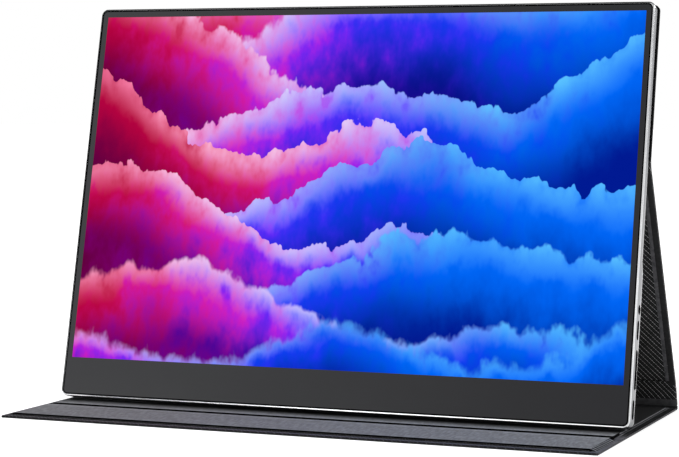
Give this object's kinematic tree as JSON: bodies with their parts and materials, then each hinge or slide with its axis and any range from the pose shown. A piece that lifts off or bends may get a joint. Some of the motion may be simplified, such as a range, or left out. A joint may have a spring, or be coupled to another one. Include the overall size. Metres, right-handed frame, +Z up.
{
  "type": "portable monitor with folding cover",
  "caption": "Slim portable monitor held in a folding cover that stands as an easel: lit screen, metal rim, side ports with a rocker key, padded base panel and hinged leg.",
  "frame": {"origin": "centre of the base panel's footprint, on the table", "axes": "+Z up, the screen faces -Y, +X to the right of a person who looks at the screen"},
  "size_m": [0.347, 0.1878, 0.2369],
  "materials": {
    "cover_glass": "gloss",
    "picture": "lit screen",
    "acrylic": "clear",
    "aluminium": "satin",
    "steel": "plain",
    "board_green": "solder mask",
    "amber_film": "film",
    "black_plastic": "matt",
    "rubber": "matt",
    "cover_skin": "twill-grained synthetic leather",
    "greyboard": "raw",
    "microfibre": "napped"
  },
  "bodies": {
    "base": {"base_skin": "cover_skin", "base_hem": "cover_skin", "base_fold": "cover_skin", "base_board_front": "greyboard", "base_board_rear": "greyboard", "base_magnets": "steel", "front_pad": "microfibre", "rear_lining": "microfibre"},
    "foot": {"foot_rod": "rubber"},
    "monitor": {"cover_glass": "cover_glass", "lcd_panel": "picture", "light_guide": "acrylic", "led_strip": "board_green", "backlight_tray": "steel", "metal_band": "aluminium", "rear_cover": "aluminium", "main_board": "board_green", "panel_board": "board_green", "flex_cable": "amber_film", "speaker_left": "black_plastic", "speaker_right": "black_plastic", "steel_plates": "steel", "usb_port_upper": "steel", "usb_port_lower": "steel", "headphone_jack": "black_plastic", "key_bracket": "black_plastic", "key_switches": "black_plastic", "screws": "steel", "back_skin": "cover_skin", "back_hem": "cover_skin", "back_board": "greyboard", "back_magnets": "steel", "back_lining": "microfibre"},
    "key": {"rocker_key": "black_plastic"},
    "leg": {"leg_skin": "cover_skin", "leg_hem": "cover_skin", "leg_board": "greyboard", "leg_lining": "cover_skin", "back_fold": "cover_skin", "heel_fold": "cover_skin"},
    "spine": {"spine_skin": "cover_skin", "spine_board": "greyboard", "spine_lining": "cover_skin"}
  },
  "joints": [
    {"name": "foot_slide", "type": "slide", "parent": "base", "child": "foot", "axis": [0, 0.9994, 0.0353], "range_m": [0, 0.1089]},
    {"name": "screen_close", "type": "hinge", "parent": "foot", "child": "monitor", "pos_m": [0, -0.01853, 0.00405], "axis": [1, 0, 0], "range_deg": [0, 103]},
    {"name": "back_hinge", "type": "hinge", "parent": "monitor", "child": "leg", "pos_m": [0, 0.02, 0.14336], "axis": [1, 0, 0], "range_deg": [-40.61, 0]},
    {"name": "heel_hinge", "type": "hinge", "parent": "leg", "child": "spine", "pos_m": [0, 0.08892, 0.01352], "axis": [1, 0, 0], "range_deg": [-80.3, 0]},
    {"name": "rocker_tilt", "type": "hinge", "parent": "monitor", "child": "key", "pos_m": [0.1708, -0.01005, 0.03453], "axis": [0, -0.9744, 0.225], "range_deg": [-2.5, 2.5], "stiffness_Nm_per_rad": 0.02}
  ],
  "couplings": [
    {"joint": "foot_slide", "follows": "screen_close", "m_per_rad": 0.060574},
    {"joint": "back_hinge", "follows": "screen_close", "ratio": -0.39427},
    {"joint": "heel_hinge", "follows": "screen_close", "ratio": -0.77961}
  ]
}
